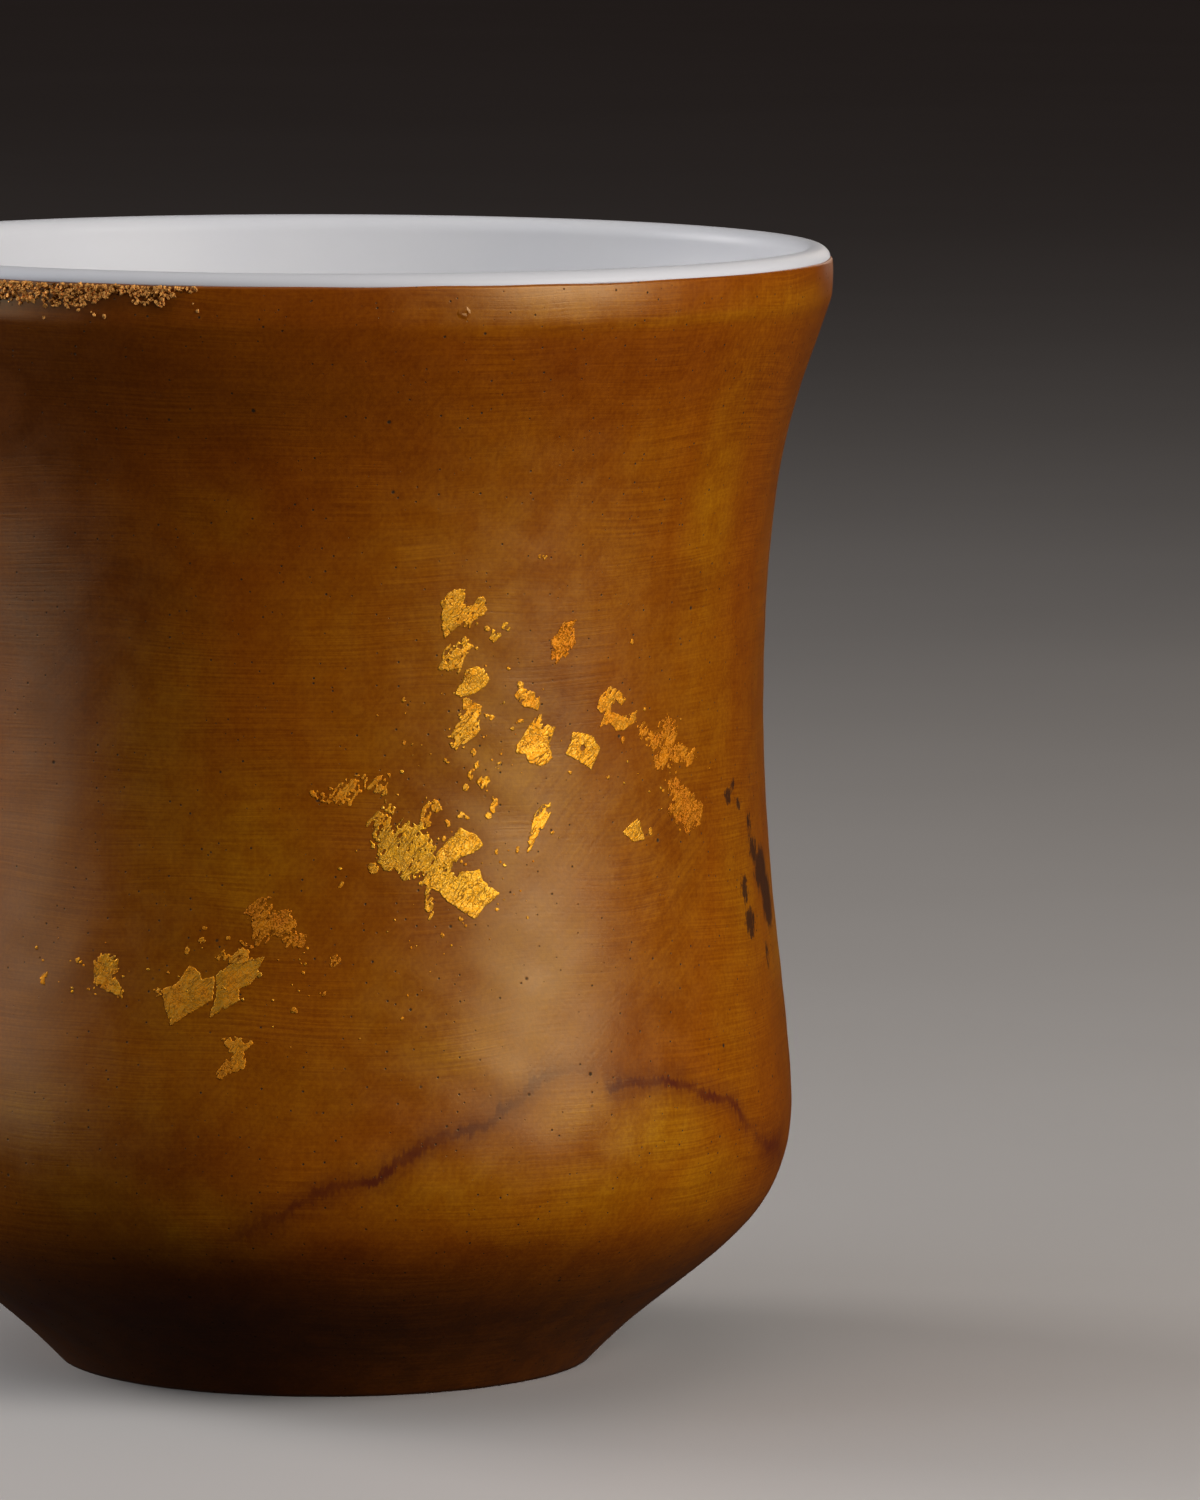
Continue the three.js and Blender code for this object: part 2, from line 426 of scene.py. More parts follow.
PORCELAIN, WARM_PORCELAIN = (0.80, 0.795, 0.81, 1), (0.82, 0.81, 0.81, 1)
# The lip's tone is painted shade, a little greyer than the inside
LIP_SHADE_TONE, PINHOLE_TONE = (0.715, 0.705, 0.715, 1), (0.35, 0.30, 0.26, 1)


def porcelain_material():
    """White porcelain under a clear glaze: faint clouds, rare pinholes, a soft ripple, and the lip
    given a greyer tone as painted shade.
    """
    material, s, surface = new_material("white_porcelain")
    point = s.place()
    cloud = s.group(SOFT_CLOUD, Vector=point, Scale=0.05, Detail=3.0, Low=0.3, High=0.7)
    pits = s.group(FINE_PITS, Vector=point, Cells_per_mm=0.28, Size=0.05, Share=0.5)
    axes = s.add("ShaderNodeSeparateXYZ", {"Vector": point}).outputs
    flat = s.add("ShaderNodeCombineXYZ", {"X": axes["X"], "Y": axes["Y"]}).outputs[0]
    radius = s.add("ShaderNodeVectorMath", {0: flat}, operation="LENGTH").outputs["Value"]
    # Painted shade: the lip is given a greyer tone than the inside
    lip = s.remap(radius, LIP_EDGE_RADIUS - LIP_THICKNESS, LIP_EDGE_RADIUS - CREST_INSET)
    colour = s.mix(lip, s.mix(cloud, PORCELAIN, WARM_PORCELAIN), LIP_SHADE_TONE)
    colour = s.mix(s.times(pits, 0.5), colour, PINHOLE_TONE)
    surface["Specular IOR Level"].default_value = 0.3
    relief = s.minus(s.times(s.noise(point, 0.35), 0.02), s.times(pits, 0.02))
    finish_surface(s, surface, colour, s.remap(cloud, 0, 1, 0.40, 0.46), relief)
    return material


BRIGHT_GOLD, DEEP_GOLD = (1.0, 0.49, 0.022, 1), (1.0, 0.25, 0.003, 1)
GLINT_GOLD, PALE_GOLD = (1.0, 0.61, 0.12, 1), (1.0, 0.48, 0.12, 1)
CRUMBLED_GOLD, BARE_TONE = (0.36, 0.12, 0.002, 1), (0.18, 0.042, 0.0015, 1)
DARK_CRUMB, GOLD_SHEEN = (0.10, 0.026, 0.003, 1), (1.0, 0.55, 0.10, 1)


def leaf_material():
    """Gold leaf: finely wrinkled, with hair cracks and thin places where the lacquer shows."""
    material, s, surface = new_material("gold_leaf")
    point = s.place()
    bent = s.noise(point, 1.3, 4.0, output="Color")
    pushed = s.add("ShaderNodeVectorMath", {0: bent, 3: 1.4}, operation="SCALE").outputs[0]
    moved = s.add("ShaderNodeVectorMath", {0: point, 1: pushed}, operation="ADD").outputs[0]
    wide, tight = (s.add("ShaderNodeTexVoronoi", {"Vector": moved, "Scale": cells},
                         feature="DISTANCE_TO_EDGE").outputs["Distance"] for cells in (1.15, 2.6))
    fine = s.group(SOFT_CLOUD, Vector=point, Scale=7.0, Detail=3.0, Low=0.35, High=0.65)
    broad = s.group(SOFT_CLOUD, Vector=point, Scale=0.7, Detail=3.0, Low=0.3, High=0.7)
    crease = s.group(BRUSH_STROKES, Vector=s.place(rotation=(0, 0.8, 0)),
                     Length=1.9, Width=0.50, Bend=6.0)
    bare = 0.0
    for distance, width, low, high, least, most in (
            (wide, 0.045, 0.2, 0.9, 0.15, 0.9), (tight, 0.06, 0.35, 0.9, 0.0, 0.3),
            (s.away(crease, 0.5), 0.045, 0.1, 0.9, 0.95, 0.4),
            (s.away(s.noise(point, 1.7), 0.5), 0.035, 0.2, 0.8, 0.3, 0.8)):
        line = s.times(s.remap(distance, 0, width, 1, 0), s.remap(broad, low, high, least, most))
        bare = s.math("MAXIMUM", bare, line)

    tone = s.times(s.field("tone"), s.remap(broad, 0, 1, 0.75, 1.0))
    glint = s.times(s.remap(fine, 0.3, 0.9), s.remap(tone, 0.2, 0.6, 0.45, 0.2))
    crumbled = s.times(s.remap(fine, 0.1, 0.7, 1, 0), s.remap(tone, 0.5, 0.9, 0.02, 1.0))
    colour = s.mix(tone, BRIGHT_GOLD, DEEP_GOLD)
    for share, there in ((glint, GLINT_GOLD), (crumbled, CRUMBLED_GOLD),
                         (s.field("pale"), PALE_GOLD), (s.times(bare, 0.88), BARE_TONE),
                         (s.remap(s.field("tone"), 1.0, 2.0), DARK_CRUMB)):
        colour = s.mix(share, colour, there)

    surface["Specular Tint"].default_value = GOLD_SHEEN
    surface["IOR"].default_value = 1.5
    metal = s.times(s.remap(bare, 0, 1, 1, 0.1), s.remap(s.field("tone"), 0.3, 0.6, 0.95, 0.55))
    s.join(s.times(metal, s.remap(s.field("pale"), 0, 1, 1, 0.45)), surface["Metallic"])
    gloss = s.plus(s.remap(fine, 0, 1, 0.60, 0.48), s.remap(s.field("tone"), 0.3, 0.6, 0, 0.12))
    relief = s.minus(s.times(fine, 0.006), s.times(bare, 0.012))
    finish_surface(s, surface, colour, gloss, s.plus(relief, s.times(crease, 0.06)))
    return material


amber_lacquer = lacquer_material()
white_porcelain = porcelain_material()
gold_leaf = leaf_material()


def level_wave(angle, amount, first, count):
    """A hand's small wander round an edge: a sum of level waves, from first per turn upwards."""
    draw = np.random.default_rng(first)
    waves = [np.cos((first + 3 * k) * angle + draw.uniform(0, TURN)) for k in range(count)]
    return amount * sum(waves) / math.sqrt(count)


def lacquer_coat():
    """The coat: its outside line with the lacquer's unevenness, its top edge and its inner face.

    A grid of (place along the closed profile, angle), each row the profile point carried round.
    """
    columns = 400
    angle = np.linspace(0, TURN, columns, endpoint=False)[None, :]
    side = spaced(wall_line, 0.45)
    outside = on_wall(angle, side[:, 1][:, None])
    edge = arc((BAND_RADIUS - COAT_EDGE_ROUND, COAT_TOP - COAT_EDGE_ROUND),
               (COAT_EDGE_ROUND, COAT_EDGE_ROUND + 0.04), 12, 90, 6)
    tuck = np.array([(BAND_RADIUS - 0.30, COAT_TOP - 0.02)])
    inner = spaced(inset(wall_line, COAT_THICKNESS), 9.0)[::-1]
    inner[-1, 1] = 0
    rest = np.vstack([edge, tuck, inner])
    lap = np.concatenate([np.linspace(0.15, 1, 6), [1.0], np.zeros(len(inner))])[:, None]
    height = rest[:, 1][:, None] + lap * level_wave(angle, 0.035, 5, 9)
    points = np.concatenate([outside, round_axis(rest[:, 0][:, None], angle, height)])
    piece = make_piece("lacquer_skin", points, grid_faces(len(points), columns, True),
                       amber_lacquer)
    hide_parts("lacquer_coat")
    return piece, points


def porcelain_body():
    """The white body: its profile from the middle of the underside round to the floor's middle."""
    backing = COAT_THICKNESS + 0.05
    outer = spaced(inset(body_line, backing), 8.0)
    outer[0] = (outer[0][0] - outer[0][1] / math.tan(FOOT_SLOPE), 0)
    ring_inner = outer[0][0] - FOOT_RING_WIDTH
    shoulder = CUP_HEIGHT - CREST_RISE
    crest_radius = LIP_EDGE_RADIUS - CREST_INSET
    inner_radius = LIP_EDGE_RADIUS - LIP_THICKNESS
    cavity = inset(body_line, backing + WALL)[::-1]
    fillet_top = FLOOR_HEIGHT + FLOOR_FILLET_RISE
    start = np.array([np.interp(fillet_top, cavity[::-1, 1], cavity[::-1, 0]), fillet_top])
    corner = np.array([np.interp(FLOOR_HEIGHT, cavity[::-1, 1], cavity[::-1, 0]), FLOOR_HEIGHT])
    end = np.array([corner[0] - np.hypot(*(start - corner)), FLOOR_HEIGHT])
    t = np.linspace(0, 1, 9)[:, None]
    fillet = (1 - t) ** 2 * start + 2 * t * (1 - t) * corner + t ** 2 * end
    recess = np.array([(0, FOOT_RECESS), (ring_inner - FOOT_RECESS_DRAFT - 1.2, FOOT_RECESS),
                       (ring_inner - FOOT_RECESS_DRAFT, FOOT_RECESS), (ring_inner, 0.25)])
    ring_edges = np.vstack([arc((ring_inner + 0.25, 0.25), (0.25, 0.25), 180, 270, 4),
                            arc((outer[0][0] - 0.2, 0.2), (0.2, 0.2), 270, 315, 3)])
    profile = np.vstack([
        recess[:1], spaced(recess[:2], 4.0)[1:], recess[2:3], ring_edges,
        outer[1:-1], [(outer[-1][0], shoulder - 0.15), (outer[-1][0] + 0.1, shoulder - 0.05)],
        arc((crest_radius, shoulder), (CREST_INSET, CREST_RISE), -4, 90, 14),
        arc((crest_radius, CUP_HEIGHT - LIP_INNER_DROP),
            (crest_radius - inner_radius, LIP_INNER_DROP), 90, 180, 12)[1:],
        spaced(cavity[cavity[:, 1] > fillet_top], 1.6), fillet[1:],
        spaced(np.array([end, (0, FLOOR_HEIGHT)]), 2.5)[1:],
    ])
    columns = 256
    angle = np.linspace(0, TURN, columns, endpoint=False)[None, :]
    inside = profile[1:-1]
    points = round_axis(inside[:, 0][:, None], angle, inside[:, 1][:, None])
    count = len(inside) * columns
    poles = np.array([(0, 0, profile[0, 1]), (0, 0, profile[-1, 1])])
    column = np.arange(columns)
    after = (column + 1) % columns
    top = count - columns
    below = np.column_stack([np.full(columns, count), after, column])
    above = np.column_stack([top + column, top + after, np.full(columns, count + 1)])
    faces = grid_faces(len(inside), columns).tolist() + below.tolist() + above.tolist()
    points = np.vstack([points.reshape(-1, 3), poles])
    piece = make_piece("porcelain_body", points, faces, white_porcelain)
    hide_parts("porcelain_cup")


porcelain_body()
lacquer_skin, skin_points = lacquer_coat()
skin_turn = np.degrees(np.arctan2(skin_points[..., 0], -skin_points[..., 1])).ravel()
skin_height = skin_points[..., 2].ravel()


def patches(places):
    """A soft field over the coat: the largest of some upright ellipses that fade as exp(-d^2)."""
    field = np.zeros_like(skin_turn)
    for turn, height, wide, tall, amount in places:
        away = (skin_turn - turn + 180) % 360 - 180
        across = np.radians(away) * WAIST_RADIUS / wide
        field = np.maximum(field, amount * np.exp(-across ** 2 - ((skin_height - height) / tall) ** 2))
    return field


def scattered(seed, count, wide, tall, amount):
    """Plain random patches for the sides and back that the photograph doesn't show."""
    draw = np.random.default_rng(seed)
    turns = draw.uniform(85, 290, count)
    return [(turn, draw.uniform(6, 84), draw.uniform(*wide), draw.uniform(*tall),
             draw.uniform(*amount)) for turn in turns]


# Clouds and marks in the lacquer: turn, height, half width and half height in mm, strength
# Honey clouds, some of those at the front painted highlight
HONEY_AND_HIGHLIGHT = [
    (14, 69, 7, 5, 0.30), (22, 66, 5, 9, 0.40), (36, 67, 7, 8, 0.40), (43, 73, 5, 6, 0.35),
    (57, 71, 4, 10, 0.60), (18, 60, 5, 8, 0.45), (-13, 71, 4, 3, 0.35), (1, 62, 5, 6, 0.15),
    (7, 52, 6, 6, 0.35), (-9, 45, 6, 8, 0.45), (2, 42, 6, 6, 0.25), (-18, 33, 7, 7, 0.40),
    (-4, 27, 7, 4, 0.35), (16, 19, 8, 3.5, 0.62), (28, 15.5, 8, 3.2, 0.40), (43, 22, 6, 3.4, 1.00),
    (52, 44, 5, 10, 0.35), (52, 17.5, 6, 3.5, 0.60), (35, 18.0, 7, 3.4, 0.65),
    (25, 87.4, 8, 1.8, 0.60), (52, 86.0, 16, 0.6, 0.50), (64, 86.6, 10, 1.6, 0.40),
    (60, 52, 5, 10, 0.30), (66, 40, 5, 9, 0.45), (48, 36, 5, 8, 0.25), (-18, 15.5, 6, 3.5, 0.55),
    (-28, 18, 5, 3, 0.45), (60, 30, 4, 9, 0.30), (8, 33, 5, 6, 0.25), (24, 53, 4, 4, 0.60),
    (34, 47, 3, 4, 0.30), (17, 29.5, 7, 3.5, 0.60), (32, 24, 4, 2.5, 0.65), (-21, 52, 5, 14, 0.35),
    (-20, 25, 5, 4, 0.35), (-39, 24, 5, 3, 0.45),
]
RUST = [
    (-3, 72, 5, 3, 0.40), (-11, 75, 6, 4, 0.45), (-25, 63, 4, 6, 0.50), (-29, 67, 4, 4, 0.50),
    (28, 82, 4, 3, 0.50), (34, 78, 3, 4, 0.35), (-20, 22, 5, 3, 0.60), (21, 13.2, 8, 2.6, 0.60),
    (37, 12.6, 7, 1.8, 0.60), (53, 64, 4, 2.5, 0.40), (52, 46, 3.5, 4, 0.55), (72, 18.4, 3, 2, 0.7),
    (30, 56, 5, 5, 0.50), (-35, 58, 4, 8, 0.45), (2, 13, 7, 2, 0.50), (-10, 11.5, 8, 2, 0.50),
    (-19, 55, 4, 5, 0.12), (12, 47, 4, 5, 0.35), (45, 31, 4, 1.6, 0.15), (5, 27.5, 7, 4, 0.30),
    (60, 80, 7, 5, 0.35), (5, 7.5, 12, 3, 0.40), (44, 82, 12, 4, 0.42), (9, 75, 6, 3, 0.35),
    (42, 70, 4, 6, 0.25),
]
# The middle is olive where the highlight falls, its colour partly painted highlight; the foot, the
# upper left and the band under the crumbs get painted shade
OLIVE_AND_HIGHLIGHT = [
    (24, 50, 9, 13, 0.75), (27, 36, 8, 9, 0.70), (8, 62, 9, 9, 0.30), (-14, 44, 9, 8, 0.35),
    (38, 46, 6, 8, 0.45), (12, 33, 8, 7, 0.35), (50, 58, 8, 9, 0.35), (22, 74, 8, 6, 0.30),
    (-36, 22, 16, 8, 0.35), (-24, 56, 6, 11, 0.35), (-40, 36, 10, 12, 0.14),
]
# Painted shade at the upper left, under the rim crumbs and low on the belly, with a few dark clouds of
# lacquer
SHADE_AND_DARK_CLOUDS = [
    (-60, 82, 26, 6, 0.55), (-42, 66, 12, 10, 0.45), (-24, 52, 4, 9, 0.12), (-40, 76, 9, 6, 0.50),
    (-45, 20, 14, 5, 0.35), (80, 80, 6, 12, 0.25), (-8, 80, 14, 4, 0.30),
    (-30, 88.2, 6, 1.5, 0.85), (-40, 88.2, 8, 1.5, 0.85), (-19, 88.2, 1.8, 1.5, 0.75),
]
# Painted shade low on the foot: its strength, the height in mm where it begins, the height over which
# it grows
FOOT_SHADE, FOOT_SHADE_TOP, FOOT_SHADE_FADE = 0.78, 15, 8
# Where the brush went upright, where it slanted, and where the smoky smear lies
COMBED = [(62, 82, 12, 6, 0.13), (85, 60, 8, 26, 0.10), (20, 78, 16, 8, 0.06),
          (235, 50, 40, 30, 0.08)]
SCRATCHED = [(47, 43, 5, 7, 0.16), (33, 50, 4, 6, 0.12), (140, 40, 8, 12, 0.12),
             (220, 60, 8, 10, 0.10)]
SMEAR = [
    (71.2, 44.2, 1.0, 2.2, 0.68), (72.8, 42.2, 2.0, 2.0, 0.72), (76.0, 40.4, 3.2, 2.8, 0.80),
    (78.5, 37.8, 3.0, 3.2, 0.84), (67.8, 39.4, 1.3, 2.0, 0.72), (68.8, 36.8, 1.7, 2.2, 0.74),
    (75.0, 33.8, 0.9, 2.6, 0.64), (64.2, 47.2, 1.3, 1.2, 0.72), (67.4, 46.3, 1.0, 1.1, 0.64),
    (65.8, 48.0, 0.9, 1.0, 0.64), (72.5, 48.2, 0.6, 1.2, 0.62), (59.8, 51.4, 0.6, 0.6, 0.54),
    (61.6, 50.4, 0.6, 1.0, 0.56), (190, 60, 3, 4, 0.50), (245, 30, 3, 3, 0.48),
]
BLISTER_TURN, BLISTER_HEIGHT, BLISTER_REACH = 15.0, 87.0, 3.0

for field, places in (
        ("honey_and_highlight", HONEY_AND_HIGHLIGHT + scattered(7, 26, (4, 9), (3, 9), (0.25, 0.7))),
        ("rust", RUST + scattered(8, 24, (3, 8), (2, 6), (0.25, 0.6))),
        ("olive_and_highlight", OLIVE_AND_HIGHLIGHT + scattered(9, 14, (6, 12), (6, 12), (0.25, 0.7))),
        ("combed", COMBED), ("scratched", SCRATCHED), ("smear", SMEAR)):
    add_field(lacquer_skin, field, patches(places))
# Painted shade growing towards the foot, joined to the patches of painted shade
foot_shade = FOOT_SHADE * np.clip((FOOT_SHADE_TOP - skin_height) / FOOT_SHADE_FADE, 0, 1)
add_field(lacquer_skin, "shade_and_dark_cloud", np.maximum(
    patches(SHADE_AND_DARK_CLOUDS + scattered(10, 9, (6, 12), (4, 9), (0.2, 0.45))), foot_shade))
blister_across = np.radians((skin_turn - BLISTER_TURN + 180) % 360 - 180) * BAND_RADIUS
blister_away = np.hypot(blister_across, skin_height - BLISTER_HEIGHT)
add_field(lacquer_skin, "blister", np.minimum(blister_away, BLISTER_REACH))


def vein_fields(name, path, strengths):
    """How high the coat's points lie over a vein's line, in mm, and how strong the vein is there."""
    turns, heights = np.array(path, float).T
    rise = skin_height - np.interp(skin_turn, turns, heights)
    slope = np.gradient(heights, np.radians(turns) * WAIST_RADIUS)
    lean = 1 / np.sqrt(1 + np.interp(skin_turn, turns, slope) ** 2)
    add_field(lacquer_skin, name, np.clip(rise * lean, -6, 6))
    where, strong = np.array(strengths, float).T
    add_field(lacquer_skin, name + "_strength", np.interp(skin_turn, where, strong, 0, 0))


vein_fields(
    "vein",
    [(-16, 13.4), (-11, 15.1), (-6, 16.8), (-2, 18.4), (3, 19.5), (5, 19.5), (7, 20.3),
     (10, 21.8), (13, 22.8), (17, 23.4), (20, 24.2), (22.5, 25.2), (25, 26.3), (27.5, 27.3),
     (31, 27.7), (34, 27.5), (36, 26.0), (40, 26.1), (46, 25.9), (49.5, 25.2), (52.5, 24.2),
     (57, 23.7), (60, 22.6), (62, 21.3), (64.5, 20.2), (69, 18.9), (76, 18.0), (84, 15.0)],
    [(-17, 0), (-12, 0.35), (-6, 0.75), (3, 0.95), (10, 0.95), (20, 0.85), (28, 0.70), (34, 0.3),
     (35.2, 0), (36.2, 0.95), (48, 1.0), (50.5, 0.75), (53, 0.95), (60, 0.95), (63, 0.45),
     (66, 0.6), (71, 0.8), (80, 0.4), (88, 0)],
)
vein_fields(
    "low_vein",
    [(-70, 4.6), (-62, 5.3), (-43, 7.7), (-34, 7.4), (-24, 8.4), (-15, 9.5), (-8, 10.0)],
    [(-72, 0), (-66, 0.6), (-48, 0.7), (-44, 0), (-36, 0), (-33, 0.55), (-22, 0.5), (-12, 0)],
)

# Lattice of random numbers that the leaf's torn edges are drawn from
LATTICE = np.random.default_rng(3).random((256, 256))


def value_noise(x, y):
    """Noise from 0 to 1: random numbers at whole places, joined by smooth steps in between."""
    column, row = np.floor(x).astype(int), np.floor(y).astype(int)
    u, v = x - column, y - row
    u, v = u * u * (3 - 2 * u), v * v * (3 - 2 * v)
    corner = [LATTICE[(row + i) % 256, (column + j) % 256] for i in (0, 1) for j in (0, 1)]
    return (corner[0] * (1 - u) + corner[1] * u) * (1 - v) + (corner[2] * (1 - u) + corner[3] * u) * v


def torn(x, y, size):
    """Ragged noise from -1 to 1: four layers, each half as large and half as strong."""
    total = sum(value_noise(x * 2 ** k / size + 17 * k, y * 2 ** k / size + 31 * k) / 2 ** k
                for k in range(4))
    return total / 1.875 * 2 - 1


def outline_distance(x, y, corners):
    """Distance to a closed outline, negative inside: the nearest side, signed by crossings."""
    nearest = np.full(x.shape, np.inf)
    inside = np.zeros(x.shape, bool)
    for (ax, ay), (bx, by) in zip(corners, np.roll(corners, -1, axis=0)):
        dx, dy = bx - ax, by - ay
        share = np.clip(((x - ax) * dx + (y - ay) * dy) / (dx * dx + dy * dy), 0, 1)
        nearest = np.minimum(nearest, np.hypot(x - ax - share * dx, y - ay - share * dy))
        crosses = (ay > y) != (by > y)
        with np.errstate(divide="ignore", invalid="ignore"):
            inside ^= crosses & (x < ax + (y - ay) / (by - ay) * dx)
    return np.where(inside, -nearest, nearest)


